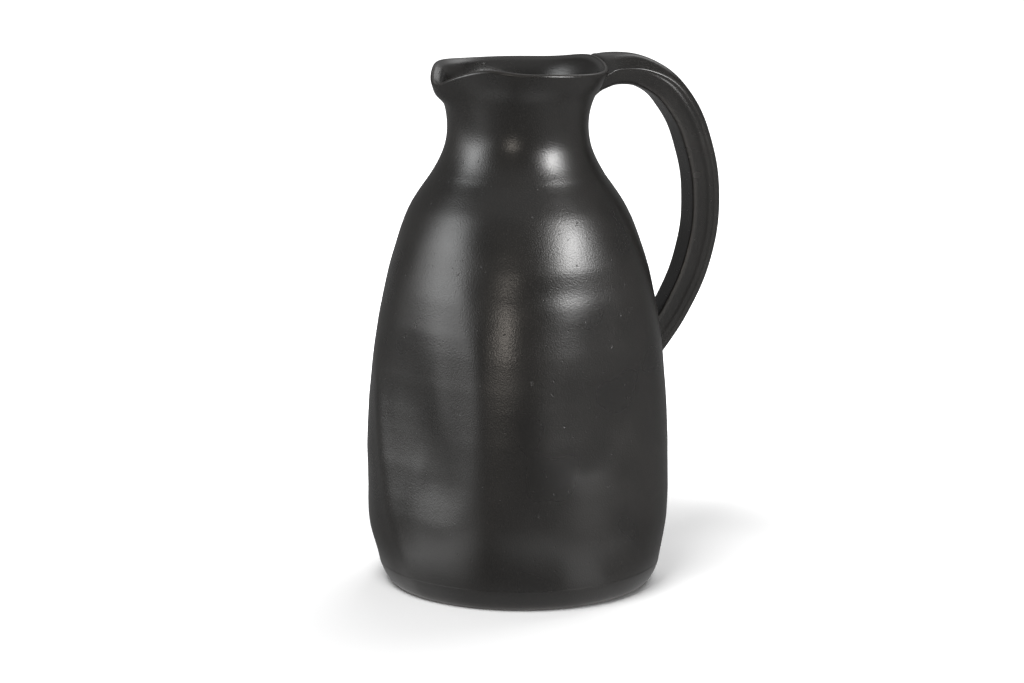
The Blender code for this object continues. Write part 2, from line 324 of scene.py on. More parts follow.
# Studio lamps: azimuth from the camera and elevation in degrees, width and height as angles,
# radiance, colour, and what it lights
LAMP_DISTANCE = 1.30
LAMP_AIM = Vector((0.0, 0.0, 0.125))
LAMPS = (
    ("right_softbox", 52.6, 27.3, 13, 13, 10.0, (1.0, 0.99, 0.98), "carafe"),
    ("right_softbox_cover", 53.3, 27.3, 27, 20.5, 3.6, (1.0, 0.99, 0.98), "carafe"),
    ("left_softbox", -76, 23.2, 14, 20, 4.6, (0.97, 0.99, 1.0), "carafe"),
    ("left_softbox_cover", -76, 23.2, 33, 33, 2.1, (0.97, 0.99, 1.0), "carafe"),
    ("warm_lamp", -10.2, 9.2, 7.6, 9.5, 11.0, (1.0, 0.92, 0.83), "carafe"),
    ("left_floor_lamp", -28, 58, 28, 28, 13.6, (1.0, 1.0, 1.0), "floor"),
    ("back_floor_lamp", 151, 49, 44, 44, 4.4, (1.0, 1.0, 1.0), "floor"),
)
AMBIENT = 0.245

# Soft tones that the glaze mirrors: azimuth and elevation, full and outer half angle, tone
STUDIO_TONE = 0.17
STUDIO_PATCHES = (
    (-76, -3.5, 4, 38.5, 2.5),
    (59.7, 23.2, 3, 17.6, 10.6),
    (90.5, 4.6, 4, 41.2, 0.12),
    (0, 80, 10, 55, 0.38),
    (180, 50, 5, 38, 0.40),
    (146, 39, 6, 17, 1.7),
)

# Floor as the glaze mirrors it, a painted reflection: tones the floor gives off only to glossy
# rays; plain tones, and brighter parts with azimuth, full and outer half angle, tone, distances
# where it starts and is full, where it fades, and what is left beyond
FLOOR_FOOT_TONE = 0.44
FLOOR_NEAR_TONE = 0.18
FLOOR_FAR_TONE = 0.17
FLOOR_FOOT_FADE = (0.062, 0.085)
FLOOR_FAR_FADE = (0.45, 0.55)
PATCH_LEAST = 0.1
FLOOR_PAINTED_REFLECTIONS = (
    (-49, 4, 28, 1.16, 0.069, 0.098, 0.15, 0.23, 0.08),
    (34, 4, 53, 0.66, 0.080, 0.130, 0.15, 0.20, 0.08),
    (37, 4, 15, 0.6, 0.070, 0.080, 0.096, 0.120, 0.0),
    (-87, 4, 50, 0.07, 0.15, 0.27, 0.0, 0.0, 1.0),
    (-66, 3, 16, 0.42, 0.22, 0.34, 0.0, 0.0, 1.0),
    (71, 4, 60, 0.217, 0.15, 0.27, 0.0, 0.0, 1.0),
    (180, 20, 62, 0.04, 0.07, 0.15, 0.0, 0.0, 1.0),
)

# Floor as the camera sees it: its own white, and a glow that takes it to the white backdrop
FLOOR_WHITE = (0.82, 0.82, 0.82, 1.0)
FLOOR_BLACK = (0.0, 0.0, 0.0, 1.0)
BACKDROP_WHITE = (1.0, 1.0, 1.0, 1.0)
FLOOR_GLOW = 0.04
FADE_START = 0.13
FADE_END = 0.30
FLOOR_RADIUS = 4.0
FLOOR_SIDES = 96


# Curves and relief


def eased(t):
    t = np.clip(t, 0.0, 1.0)
    return t * t * (3 - 2 * t)


def smooth_value(stations, x):
    """Value of the cubic curve through the stations, with each slope taken from its neighbours."""
    at = np.array([station[0] for station in stations])
    value = np.array([station[1] for station in stations])
    span = np.diff(at)
    rise = np.diff(value) / span
    inside = (span[1:] * rise[:-1] + span[:-1] * rise[1:]) / (span[:-1] + span[1:])
    slope = np.concatenate((rise[:1], inside, rise[-1:]))
    x = np.clip(x, at[0], at[-1])
    k = np.clip(np.searchsorted(at, x) - 1, 0, len(span) - 1)
    t = (x - at[k]) / span[k]
    chord = value[k] + (value[k + 1] - value[k]) * eased(t)
    start_lean = t * (1 - t) ** 2 * span[k] * slope[k]
    end_lean = t * t * (1 - t) * span[k] * slope[k + 1]
    return chord + start_lean - end_lean


def outer_radius(z):
    return smooth_value(WALL_STATIONS, z)


def inner_radius(z):
    return outer_radius(z) - smooth_value(WALL_THICKNESS, z)


def angle_between(a, b):
    return (a - b + pi) % (2 * pi) - pi


def rim_wave(waves, azimuth):
    total = np.zeros_like(azimuth)
    for centre, spread, amount in waves:
        total += amount * np.exp(-(angle_between(azimuth, radians(centre)) / radians(spread)) ** 2)
    return total


def pinch_depth(azimuth, z):
    """How far the hands pressed the wall in at a point."""
    total = np.zeros_like(azimuth)
    for middle, lean, height, left, right, up, down, depth in HAND_MARKS:
        rise = z - height
        turn = np.degrees(angle_between(azimuth, np.radians(middle + lean * rise)))
        across = turn / np.where(turn < 0, left, right)
        along = rise / np.where(rise < 0, down, up)
        total += depth * np.exp(-across ** 2 - along ** 2)
    return total


def skin_relief(azimuth, z):
    """Depth of the fine marks that the potter's hands and the luted seams leave in the skin."""
    total = np.zeros_like(azimuth)
    for middle, up, down, depth in WALL_RINGS:
        rise = z - middle
        total += depth * np.exp(-(rise / np.where(rise < 0, down, up)) ** 2)
    for spacing, phase, turns, amount in THROWING_RINGS:
        total += amount * np.sin(2 * pi * z / spacing + phase + turns * azimuth)
    for turns, phase, lean, amount in WOBBLES:
        total += amount * np.cos(turns * azimuth + phase + lean * z)
    return total


def hand_shaped(radius, azimuth, z, skin):
    """Points of the turned body after the belly is pinched and the rim is pulled."""
    radius = radius - pinch_depth(azimuth, z) - skin * skin_relief(azimuth, z)
    blend = eased((z - RIM_BLEND_START) / (RIM_HEIGHT - RIM_BLEND_START))
    radius = radius + blend * rim_wave(RIM_PULLS, azimuth)
    foot = eased(1 - z / FOOT_SHIFT_TOP)
    x = radius * np.cos(azimuth) + foot * FOOT_SHIFT[0]
    y = radius * np.sin(azimuth) + foot * FOOT_SHIFT[1]
    return np.stack((x, y, z + blend * rim_wave(RIM_LIFTS, azimuth)), axis=-1)


# Profiles of the turned pieces, as rings (radius, height, skin, thin glaze) down the outer side


def even_heights(low, high, spacing):
    return np.linspace(low, high, max(2, round((high - low) / spacing) + 1))


def skin_heights(low, high, spacing):
    """Even heights, with closer rings beside the seams at both ends."""
    beside = np.array(SEAM_RINGS)
    middle = even_heights(low + SEAM_CLEAR, high - SEAM_CLEAR, spacing)
    return np.concatenate(([low], low + beside, middle, high - beside[::-1], [high]))


def outer_rings(low, high, spacing=SKIN_SPACING):
    return [(outer_radius(z), z, 1.0, 0.0) for z in skin_heights(low, high, spacing)[::-1]]


def inner_rings(low, high):
    return [(inner_radius(z), z, 0.0, 0.0) for z in even_heights(low, high, INNER_SPACING)]


def seat_radius(seam):
    z = seam + LAP / 2
    return (outer_radius(z) + inner_radius(z)) / 2


def lap_top(seam):
    """End of a section: over the inner half of the wall and out to the seam."""
    seat = seat_radius(seam)
    return [(seat, seam + LAP, 0.0, 0.0), (seat, seam, 0.0, 0.0)]


def lap_foot(seam):
    """Start of the next section: its outer half reaches down over the lap below it."""
    seat = seat_radius(seam) + LAP_GAP
    return [(seat, seam, 0.0, 0.0), (seat, seam + LAP, 0.0, 0.0)]


def floor_rings():
    dish = np.linspace(DISH_MIDDLE_RADIUS, SEAT_OUTER_RADIUS, DISH_RINGS)
    rings = [(r, FLOOR_THICKNESS, 0.0, 0.0) for r in dish]
    rings.append((SEAT_OUTER_RADIUS, FLOOR_SEAM, 0.0, 0.0))
    top = np.array((float(outer_radius(FLOOR_SEAM)), FLOOR_SEAM))
    pull = np.array(BASE_CORNER_PULL)
    low = np.array((BASE_CONTACT_RADIUS, 0.0))
    for t in np.linspace(0.0, 1.0, CORNER_STEPS + 1):
        r, z = top * (1 - t) ** 2 + pull * 2 * t * (1 - t) + low * t * t
        bare = eased((t - CORNER_BARE_START) / (1 - CORNER_BARE_START))
        rings.append((r, z, float(eased(1 - t)), float(bare)))
    underside = np.linspace(BASE_CONTACT_RADIUS, DISH_MIDDLE_RADIUS, DISH_RINGS)[1:]
    return rings + [(r, 0.0, 0.0, 1.0) for r in underside]


def belly_rings():
    rings = outer_rings(FLOOR_SEAM, SHOULDER_SEAM)
    tongue = SEAT_OUTER_RADIUS - LAP_GAP
    bottom = FLOOR_THICKNESS + LAP_GAP
    rings += [(tongue, FLOOR_SEAM, 0.0, 0.0), (tongue, bottom, 0.0, 0.0)]
    start = np.array((SEAT_INNER_RADIUS, bottom))
    top_radius = float(inner_radius(INNER_FILLET_TOP))
    pull = np.array((top_radius - INNER_FILLET_LEAN, INNER_FILLET_MIDDLE))
    end = np.array((top_radius, INNER_FILLET_TOP))
    for t in np.linspace(0.0, 1.0, FILLET_STEPS)[:-1]:
        r, z = start * (1 - t) ** 2 + pull * 2 * t * (1 - t) + end * t * t
        rings.append((r, z, 0.0, 0.0))
    return rings + inner_rings(INNER_FILLET_TOP, SHOULDER_SEAM + LAP) + lap_top(SHOULDER_SEAM)


def shoulder_rings():
    rings = outer_rings(SHOULDER_SEAM, NECK_SEAM) + lap_foot(SHOULDER_SEAM)
    return rings + inner_rings(SHOULDER_SEAM + LAP, NECK_SEAM + LAP) + lap_top(NECK_SEAM)


def neck_rings():
    """Neck with a thin rounded lip, whose inner side is bevelled towards the mouth."""
    lip_z = RIM_HEIGHT - LIP_EDGE
    wall_top = WALL_STATIONS[-1][0]
    lip_r = WALL_STATIONS[-1][1] - LIP_EDGE * cos(LIP_OUTER_LEAN)
    mouth_low, mouth_top = MOUTH_STATIONS[0][0], MOUTH_STATIONS[-1][0]
    rings = outer_rings(NECK_SEAM, wall_top, RIM_SPACING) + lap_foot(NECK_SEAM)
    rings += inner_rings(NECK_SEAM + LAP, mouth_low)
    for z in even_heights(mouth_low, mouth_top, RIM_SPACING / 2)[1:]:
        rings.append((smooth_value(MOUTH_STATIONS, z), z, 0.0, 0.0))
    for turn in np.linspace(LIP_INNER_LEAN, LIP_OUTER_LEAN, LIP_STEPS)[1:-1]:
        r = lip_r + LIP_EDGE * cos(turn)
        z = lip_z + LIP_EDGE * sin(turn)
        rings.append((r, z, 1.0, max(0.0, sin(turn))))
    return rings


# Meshes


def grid_faces(rows, columns, close_rows, close_columns):
    """Quads of a grid of points, numbered row by row."""
    a = np.arange(rows if close_rows else rows - 1)
    b = np.arange(columns if close_columns else columns - 1)
    i, j = np.meshgrid(a, b, indexing="ij")
    i_next = (i + 1) % rows
    j_next = (j + 1) % columns
    quads = (i * columns + j, i_next * columns + j, i_next * columns + j_next, i * columns + j_next)
    return np.stack(quads, axis=-1).reshape(-1, 4).tolist()


def made_piece(name, points, faces, thin_glaze_and_highlight):
    """A smooth mesh object at the origin; the last argument says where the glaze thins and, on the
    handle, where a highlight is painted along its edges.
    """
    mesh = bpy.data.meshes.new(name)
    mesh.from_pydata(points.tolist(), [], faces)
    mesh.validate()
    attribute = mesh.attributes.new("thin_glaze_and_edge_highlight", "FLOAT", "POINT")
    attribute.data.foreach_set("value", np.clip(thin_glaze_and_highlight, 0.0, 1.0).astype(np.float32))
    mesh.shade_smooth()
    mesh.set_sharp_from_angle(angle=radians(SHARP_ANGLE))
    made = bpy.data.objects.new(name, mesh)
    bpy.context.scene.collection.objects.link(made)
    return made


def capped(points, faces, thin_glaze_and_highlight, end_thin):
    """Closes both ends of a tube of points with a fan, and gives its points and their glaze-thinning
    and painted-highlight values.
    """
    rows, columns = points.shape[:2]
    flat = points.reshape(-1, 3)
    top = len(flat)
    last = (rows - 1) * columns
    flat = np.vstack((flat, points[0].mean(axis=0), points[-1].mean(axis=0)))
    for j in range(columns):
        after = (j + 1) % columns
        faces.append((top, j, after))
        faces.append((top + 1, last + after, last + j))
    return flat, np.concatenate((thin_glaze_and_highlight.reshape(-1), end_thin))


def turned_piece(name, rings, closed):
    """A closed piece turned from rings, then hand shaped."""
    ring = np.array(rings, dtype=float)
    azimuth = np.linspace(-pi, pi, SEGMENTS, endpoint=False)
    shape = (len(ring), SEGMENTS)
    spread = [np.broadcast_to(ring[:, k, None], shape) for k in range(4)]
    turn = np.broadcast_to(azimuth, shape)
    points = hand_shaped(spread[0], turn, spread[1], spread[2])
    faces = grid_faces(len(ring), SEGMENTS, closed, True)
    if closed:
        return made_piece(name, points.reshape(-1, 3), faces, spread[3].reshape(-1))
    flat, thin_glaze_and_highlight = capped(points, faces, spread[3], (0.0, 1.0))
    return made_piece(name, flat, faces, thin_glaze_and_highlight)


# Handle strap


def auto_curve(stations, steps):
    """Points of a smooth Bezier curve through the stations, each handle set from its neighbours."""
    points = np.array(stations)[:, :2]
    scale = np.array(stations)[:, 2]
    before = np.vstack((2 * points[0] - points[1], points[:-1]))
    after = np.vstack((points[1:], 2 * points[-1] - points[-2]))
    length_in = np.linalg.norm(points - before, axis=1)[:, None]
    length_out = np.linalg.norm(after - points, axis=1)[:, None]
    lean = (points - before) / length_in + (after - points) / length_out
    size = np.linalg.norm(lean, axis=1)[:, None] * HANDLE_DIVISOR
    left = points - lean * length_in / size
    right = points + lean * length_out / size
    t = np.linspace(0, 1, steps, endpoint=False)[:, None]
    runs = []
    for k in range(len(points) - 1):
        ends = points[k] * (1 - t) ** 3 + points[k + 1] * t ** 3
        handles = 3 * right[k] * t * (1 - t) ** 2 + 3 * left[k + 1] * t * t * (1 - t)
        runs.append(np.hstack((ends + handles, scale[k] + (scale[k + 1] - scale[k]) * t)))
    runs.append(np.hstack((points[-1], scale[-1]))[None])
    return np.vstack(runs)


def mirrored_half(half):
    return [(-across, through, thin_glaze_and_highlight) for across, through, thin_glaze_and_highlight in half]


def rounded_section(front, back):
    """The closed section from its two halves, with the corners of its polygon cut to a curve."""
    ring = np.vstack((np.array(front), np.array(back)[::-1]))
    for _ in range(SECTION_PASSES):
        after = np.roll(ring, -1, axis=0)
        near = ring * (1 - CORNER_CUT) + after * CORNER_CUT
        far = ring * CORNER_CUT + after * (1 - CORNER_CUT)
        ring = np.stack((near, far), axis=1).reshape(-1, 3)
    return ring


class Strap:
    """The strap as a surface: section points swept along the route, by the share of its length."""

    def __init__(self):
        route = auto_curve(STRAP_ROUTE, ROUTE_STEPS)
        self.reach, self.height, self.scale = route[:, 0], route[:, 1], route[:, 2]
        steps = np.hypot(np.diff(self.reach), np.diff(self.height))
        self.length = steps.sum()
        self.share = np.concatenate(([0.0], np.cumsum(steps))) / self.length
        lean_x = np.gradient(self.reach, self.share)
        lean_z = np.gradient(self.height, self.share)
        size = np.hypot(lean_x, lean_z)
        self.out_x, self.out_z = -lean_z / size, lean_x / size

    def points(self, across, through, share):
        """Points at a share of the length; across and through are in half sections."""
        at = [np.interp(share, self.share, v) for v in (self.reach, self.height, self.scale)]
        out_x = np.interp(share, self.share, self.out_x)
        out_z = np.interp(share, self.share, self.out_z)
        lift = through * STRAP_HALF_THICKNESS * at[2]
        x = at[0] + out_x * lift
        z = at[1] + out_z * lift
        upper = share < UPPER_HALF
        flare = 1 - eased((x - ROOT_FLARE_START) / (ROOT_FLARE_END - ROOT_FLARE_START))
        y = across * STRAP_HALF_WIDTH * at[2] * (1 + ROOT_FLARE * flare * upper)
        top = at[1] + out_z * STRAP_HALF_THICKNESS * at[2]
        lowered = self.root_top(x, y) - top
        near = 1 - eased((x - ROOT_LEVEL_START) / (ROOT_LEVEL_END - ROOT_LEVEL_START))
        z = z + near * upper * lowered * (through + 1) / 2
        return np.stack((x, y, z), axis=-1)

    def root_top(self, x, y):
        """Height of the strap's top beside the rim."""
        rim = RIM_HEIGHT + rim_wave(RIM_LIFTS, np.arctan2(y, x))
        tuck = eased((ROOT_TUCK_START - np.hypot(x, y)) / ROOT_TUCK_LENGTH)
        return rim + ROOT_RISE - ROOT_TUCK * tuck

    def meeting(self, across, through, depth, lower):
        """Share of the length where each line of the strap meets the wall, a depth below its skin."""
        span = (1 - ROOT_SPAN, 1.0) if lower else (0.0, ROOT_SPAN)
        share = np.linspace(*span, MEETING_STEPS)
        p = self.points(across[:, None], through[:, None], share[None, :])
        wall = outer_radius(np.minimum(p[..., 2], WALL_STATIONS[-1][0])) - depth
        clear = np.hypot(p[..., 0], p[..., 1]) - wall
        outside = clear > 0
        k = (np.argmax(~outside, axis=1) if lower else np.argmax(outside, axis=1)).clip(1)
        row = np.arange(len(across))
        a, b = clear[row, k - 1], clear[row, k]
        part = a / (a - b)
        return share[k - 1] + (share[k] - share[k - 1]) * part


def strap_piece(name, strap):
    root = rounded_section(ROOT_SECTION, ROOT_BACK)
    ribbed = rounded_section(STRAP_SECTION, mirrored_half(STRAP_SECTION))
    start = strap.meeting(root[:, 0], root[:, 1], ROOT_DEPTH, False)
    end = strap.meeting(ribbed[:, 0], ribbed[:, 1], ROOT_DEPTH, True)
    rows = np.linspace(0.0, 1.0, STRAP_RINGS)[:, None]
    share = start[None, :] + (end - start)[None, :] * rows
    ribs = eased((share - ROOT_SECTION_END) / (RIBS_START - ROOT_SECTION_END))[..., None]
    section = root[None] + (ribbed - root)[None] * ribs
    points = strap.points(section[..., 0], section[..., 1], share)
    faces = grid_faces(STRAP_RINGS, len(root), False, True)
    flat, thin_glaze_and_highlight = capped(points, faces, section[..., 2], (0.0, 0.0))
    return made_piece(name, flat, faces, thin_glaze_and_highlight)


# Lutes


def on_wall(y, z):
    """Points of the finished wall at the handle's side."""
    radius = outer_radius(z)
    return hand_shaped(radius, np.arcsin(y / radius), z, 1.0)


def pressed_clay(name, corner, curve, inward, close_rows, thin_glaze_and_highlight):
    """A closed fillet: a curved face over a corner, and a back sunk into what it joins."""
    rows, columns = curve.shape[:2]
    face = curve + inward * LUTE_SINK
    back = corner + inward * LUTE_DEPTH
    count = rows * columns
    faces = grid_faces(rows, columns, close_rows, False)
    under = [tuple(count + k for k in reversed(quad)) for quad in faces]
    borders = []
    for i in range(rows if close_rows else rows - 1):
        a, b = i * columns, (i + 1) % rows * columns
        borders.append((b, a, a + count, b + count))
        a, b = a + columns - 1, b + columns - 1
        borders.append((a, b, b + count, a + count))
    if not close_rows:
        for j in range(columns - 1):
            borders.append((j, j + 1, j + 1 + count, j + count))
            a = (rows - 1) * columns + j
            borders.append((a + 1, a, a + count, a + 1 + count))
    points = np.vstack((face.reshape(-1, 3), back.reshape(-1, 3)))
    shade = np.concatenate((thin_glaze_and_highlight.reshape(-1), np.zeros(count)))
    return made_piece(name, points, faces + under + borders, shade)


def fillet_rows(a, c, b, first, second):
    """The straight path a, c, b along two faces and the Bezier fillet that bridges its corner."""
    t = np.linspace(0.0, 1.0, LUTE_STEPS + 1)[None, :, None]
    path = np.concatenate((first, second[:, 1:]), axis=1)
    bridge = a[:, None] * (1 - t) ** 2 + c[:, None] * 2 * t * (1 - t) + b[:, None] * t * t
    return path, bridge


def upper_lute_piece(name, strap):
    """Clay drawn down from the strap's underside to the neck, narrower towards its foot."""
    v = np.linspace(-1.0, 1.0, LUTE_ROWS)
    across = v * UPPER_LUTE_WIDTH
    section = rounded_section(ROOT_SECTION, ROOT_BACK)
    under = section[section[:, 1] < 0]
    under = under[np.argsort(under[:, 0])]
    through = np.interp(across, under[:, 0], under[:, 1])
    meet = strap.meeting(across, through, 0.0, False)
    half = LUTE_STEPS // 2
    q = np.linspace(0.0, 1.0, half + 1)
    share = meet[:, None] + UPPER_LUTE_REACH / strap.length * (1 - q)[None, :]
    first = strap.points(across[:, None], through[:, None], share)
    c = first[:, -1]
    z = c[:, 2, None] + (UPPER_LUTE_FOOT - c[:, 2, None]) * q[None, :]
    y = c[:, 1, None] * (1 - UPPER_LUTE_TAPER * q[None, :])
    second = on_wall(y, z)
    path, bridge = fillet_rows(first[:, 0], c, second[:, -1], first, second)
    fullness = (1 - np.abs(v) ** UPPER_LUTE_FULLNESS)[:, None, None]
    curve = path + (bridge - path) * fullness
    inward = np.array((-LUTE_LEAN, 0.0, LUTE_LEAN))
    # Painted highlight: the edge colour along the lute's sides gives lighter lines beside the neck and
    # strap
    thin_glaze_and_highlight = np.broadcast_to((np.abs(v) ** UPPER_LUTE_THINNING)[:, None], curve.shape[:2])
    return pressed_clay(name, path[::-1], curve[::-1], inward, False, thin_glaze_and_highlight)


def lower_lute_piece(name, strap):
    """Clay pressed all round the strap where it stands on the belly."""
    section = rounded_section(STRAP_SECTION, mirrored_half(STRAP_SECTION))
    across, through = section[:, 0], section[:, 1]
    meet = strap.meeting(across, through, 0.0, True)
    size = (LOWER_LUTE_INNER + (1 - LOWER_LUTE_INNER) * eased((through + 1) / 2))[:, None]
    half = LUTE_STEPS // 2
    q = np.linspace(0.0, 1.0, half + 1)
    share = meet[:, None] - size * LOWER_LUTE_REACH / strap.length * (1 - q)[None, :]
    first = strap.points(across[:, None], through[:, None], share)
    c = first[:, -1]
    middle = c.mean(axis=0)
    out = c[:, 1:] - middle[1:]
    out /= np.linalg.norm(out, axis=1)[:, None]
    spread = size * LOWER_LUTE_SPREAD * q[None, :]
    y = c[:, 1, None] + out[:, 0, None] * spread
    z = c[:, 2, None] + out[:, 1, None] * spread
    second = on_wall(y, z)
    path, bridge = fillet_rows(first[:, 0], c, second[:, -1], first, second)
    inward = np.zeros_like(path)
    inward[..., 0] = -LUTE_LEAN
    inward[..., 1:] = -LUTE_LEAN * out[:, None]
    return pressed_clay(name, path, bridge, inward, True, np.zeros(path.shape[:2]))


# Materials


def new_nodes(tree):
    tree.nodes.clear()

    def node(kind, **values):
        made = tree.nodes.new(kind)
        for key, value in values.items():
            setattr(made, key, value)
        return made

    return node, tree.links.new


def noise(node, link, place, scale, detail):
    made = node("ShaderNodeTexNoise")
    made.inputs["Scale"].default_value = scale
    made.inputs["Detail"].default_value = detail
    link(place, made.inputs["Vector"])
    return made.outputs["Fac"]


def mapped(node, link, value, low, high, to_low, to_high):
    made = node("ShaderNodeMapRange", interpolation_type="SMOOTHSTEP")
    for socket, number in zip(made.inputs[1:5], (low, high, to_low, to_high)):
        socket.default_value = number
    link(value, made.inputs["Value"])
    return made.outputs["Result"]


def computed(node, link, operation, a, b):
    made = node("ShaderNodeMath", operation=operation)
    for socket, value in zip(made.inputs, (a, b)):
        if isinstance(value, float):
            socket.default_value = value
        else:
            link(value, socket)
    return made.outputs["Value"]


def mixed(node, link, share, a, b):
    made = node("ShaderNodeMix", data_type="RGBA")
    link(share, made.inputs["Factor"])
    for socket, value in ((made.inputs[6], a), (made.inputs[7], b)):
        if isinstance(value, tuple):
            socket.default_value = value
        else:
            link(value, socket)
    return made.outputs[2]


def glaze_material(name, edge, even, roughness, grain, bare=False):
    """Satin black glaze: mottled, finely pitted, browner where it thins, and lighter on the handle's
    edges as a painted highlight; bare clay where asked.

    even is how much of the edge colour shows everywhere along the glaze's thinning and painted
    highlight, and grain is the strength of the bump.
    """
    made = bpy.data.materials.new(name)
    made.use_nodes = True
    node, link = new_nodes(made.node_tree)
    place = node("ShaderNodeTexCoord").outputs["Object"]
    cloud = noise(node, link, place, *CLOUD_NOISE)
    speckle = noise(node, link, place, *SPECKLE_NOISE)
    peel = noise(node, link, place, *PEEL_NOISE)
    pits = mapped(node, link, noise(node, link, place, *PIT_NOISE), *PIT_RANGE, 0.0, 1.0)

    # Edge colour where the glaze thins; on the handle its lighter grey is a painted highlight
    thin_glaze_and_highlight = node("ShaderNodeAttribute", attribute_name="thin_glaze_and_edge_highlight").outputs["Fac"]
    patchy = mapped(node, link, speckle, *PATCHY_RANGE, even, 1.0)
    patchy_thin_glaze_and_highlight = computed(node, link, "MULTIPLY", thin_glaze_and_highlight, patchy)
    mottle = mapped(node, link, cloud, *MOTTLE_RANGE, 0.0, 1.0)
    colour = mixed(node, link, mottle, GLAZE_DARK, GLAZE_WARM)
    colour = mixed(node, link, patchy_thin_glaze_and_highlight, colour, edge)
    rough_span = (roughness - ROUGHNESS_SPREAD, roughness + ROUGHNESS_SPREAD)
    rough_cloud = mapped(node, link, cloud, *MOTTLE_RANGE, *rough_span)
    pit_rough = computed(node, link, "MULTIPLY", pits, PIT_ROUGHNESS)
    rough = computed(node, link, "ADD", rough_cloud, pit_rough)

    pit_depth = computed(node, link, "MULTIPLY", pits, PIT_DEPTH)
    height = computed(node, link, "SUBTRACT", peel, pit_depth)
    bump = node("ShaderNodeBump")
    bump.inputs["Strength"].default_value = grain
    bump.inputs["Distance"].default_value = BUMP_DISTANCE
    link(height, bump.inputs["Height"])

    shader = node("ShaderNodeBsdfPrincipled")
    shader.inputs["IOR"].default_value = GLAZE_IOR
    if bare:
        clay = mapped(node, link, thin_glaze_and_highlight, *BARE_RANGE, 0.0, 1.0)
        clay_colour = mixed(node, link, mottle, CLAY_DARK, CLAY_LIGHT)
        colour = mixed(node, link, clay, colour, clay_colour)
        clay_rough = computed(node, link, "MULTIPLY", clay, CLAY_ROUGHNESS)
        rough = computed(node, link, "ADD", rough, clay_rough)
    link(colour, shader.inputs["Base Color"])
    link(rough, shader.inputs["Roughness"])
    link(bump.outputs["Normal"], shader.inputs["Normal"])
    output = node("ShaderNodeOutputMaterial")
    link(shader.outputs["BSDF"], output.inputs["Surface"])
    return made


def patches(node, link, place, tones, base):
    """A base tone with soft round patches towards given directions."""
    unit = node("ShaderNodeVectorMath", operation="NORMALIZE")
    link(place, unit.inputs[0])
    total = base
    for azimuth, elevation, full, outer, tone in tones:
        facing = node("ShaderNodeVectorMath", operation="DOT_PRODUCT")
        facing.inputs[1].default_value = direction(azimuth, elevation)
        link(unit.outputs["Vector"], facing.inputs[0])
        value = facing.outputs["Value"]
        patch = mapped(node, link, value, cos(radians(outer)), cos(radians(full)), 0.0, tone)
        total = computed(node, link, "ADD", patch, total)
    return total


def floor_material():
    """Pale floor that takes the shadow near the carafe and goes to the white of the backdrop; to
    glossy rays it is black and glows with a painted reflection for the glaze to mirror.
    """
    made = bpy.data.materials.new("pale_floor")
    made.use_nodes = True
    node, link = new_nodes(made.node_tree)
    place = node("ShaderNodeTexCoord").outputs["Object"]
    length = node("ShaderNodeVectorMath", operation="LENGTH")
    link(place, length.inputs[0])
    away = length.outputs["Value"]
    path = node("ShaderNodeLightPath")
    seen = path.outputs["Is Camera Ray"]
    glossy = path.outputs["Is Glossy Ray"]
    glow = mapped(node, link, away, FADE_START, FADE_END, FLOOR_GLOW, 1.0)
    foot_extra = FLOOR_FOOT_TONE - FLOOR_NEAR_TONE
    foot = mapped(node, link, away, *FLOOR_FOOT_FADE, foot_extra, 0.0)
    plain = mapped(node, link, away, *FLOOR_FAR_FADE, FLOOR_NEAR_TONE, FLOOR_FAR_TONE)
    mirrored = computed(node, link, "ADD", foot, plain)
    # Painted reflection: brighter parts of the floor that glow only to glossy rays
    for azimuth, full, outer, tone, start, risen, fading, faded, left in FLOOR_PAINTED_REFLECTIONS:
        patch = patches(node, link, place, [(azimuth, 0, full, outer, tone)], 0.0)
        rising = mapped(node, link, away, start, risen, PATCH_LEAST, 1.0)
        patch = computed(node, link, "MULTIPLY", patch, rising)
        if left < 1:
            falling = mapped(node, link, away, fading, faded, 1.0, left)
            patch = computed(node, link, "MULTIPLY", patch, falling)
        mirrored = computed(node, link, "ADD", mirrored, patch)
    shown = computed(node, link, "MULTIPLY", glow, seen)
    reflected = computed(node, link, "MULTIPLY", mirrored, glossy)
    shown = computed(node, link, "ADD", shown, reflected)
    light = node("ShaderNodeEmission")
    link(shown, light.inputs["Strength"])
    matt = node("ShaderNodeBsdfDiffuse")
    # Black to glossy rays, so the glaze mirrors only the painted reflection
    link(mixed(node, link, glossy, FLOOR_WHITE, FLOOR_BLACK), matt.inputs["Color"])
    both = node("ShaderNodeAddShader")
    link(light.outputs["Emission"], both.inputs[0])
    link(matt.outputs["BSDF"], both.inputs[1])
    output = node("ShaderNodeOutputMaterial")
    link(both.outputs["Shader"], output.inputs["Surface"])
    return made


# Studio


def direction(azimuth, elevation):
    """Unit vector towards a lamp: azimuth from the camera, positive to the picture's right."""
    a, e = radians(azimuth), radians(elevation)
    return RIGHT * (sin(a) * cos(e)) - AWAY * (cos(a) * cos(e)) + Vector((0.0, 0.0, sin(e)))


def add_lamp(name, azimuth, elevation, width, height, radiance, colour, receivers):
    data = bpy.data.lights.new(name, "AREA")
    data.shape = "RECTANGLE"
    data.size = 2 * LAMP_DISTANCE * tan(radians(width / 2))
    data.size_y = 2 * LAMP_DISTANCE * tan(radians(height / 2))
    data.energy = radiance * pi * data.size * data.size_y
    data.color = colour
    lamp = bpy.data.objects.new(name, data)
    towards = direction(azimuth, elevation)
    lamp.location = LAMP_AIM + towards * LAMP_DISTANCE
    lamp.rotation_euler = towards.to_track_quat("Z", "Y").to_euler()
    lamp.light_linking.receiver_collection = receivers
    bpy.context.scene.collection.objects.link(lamp)


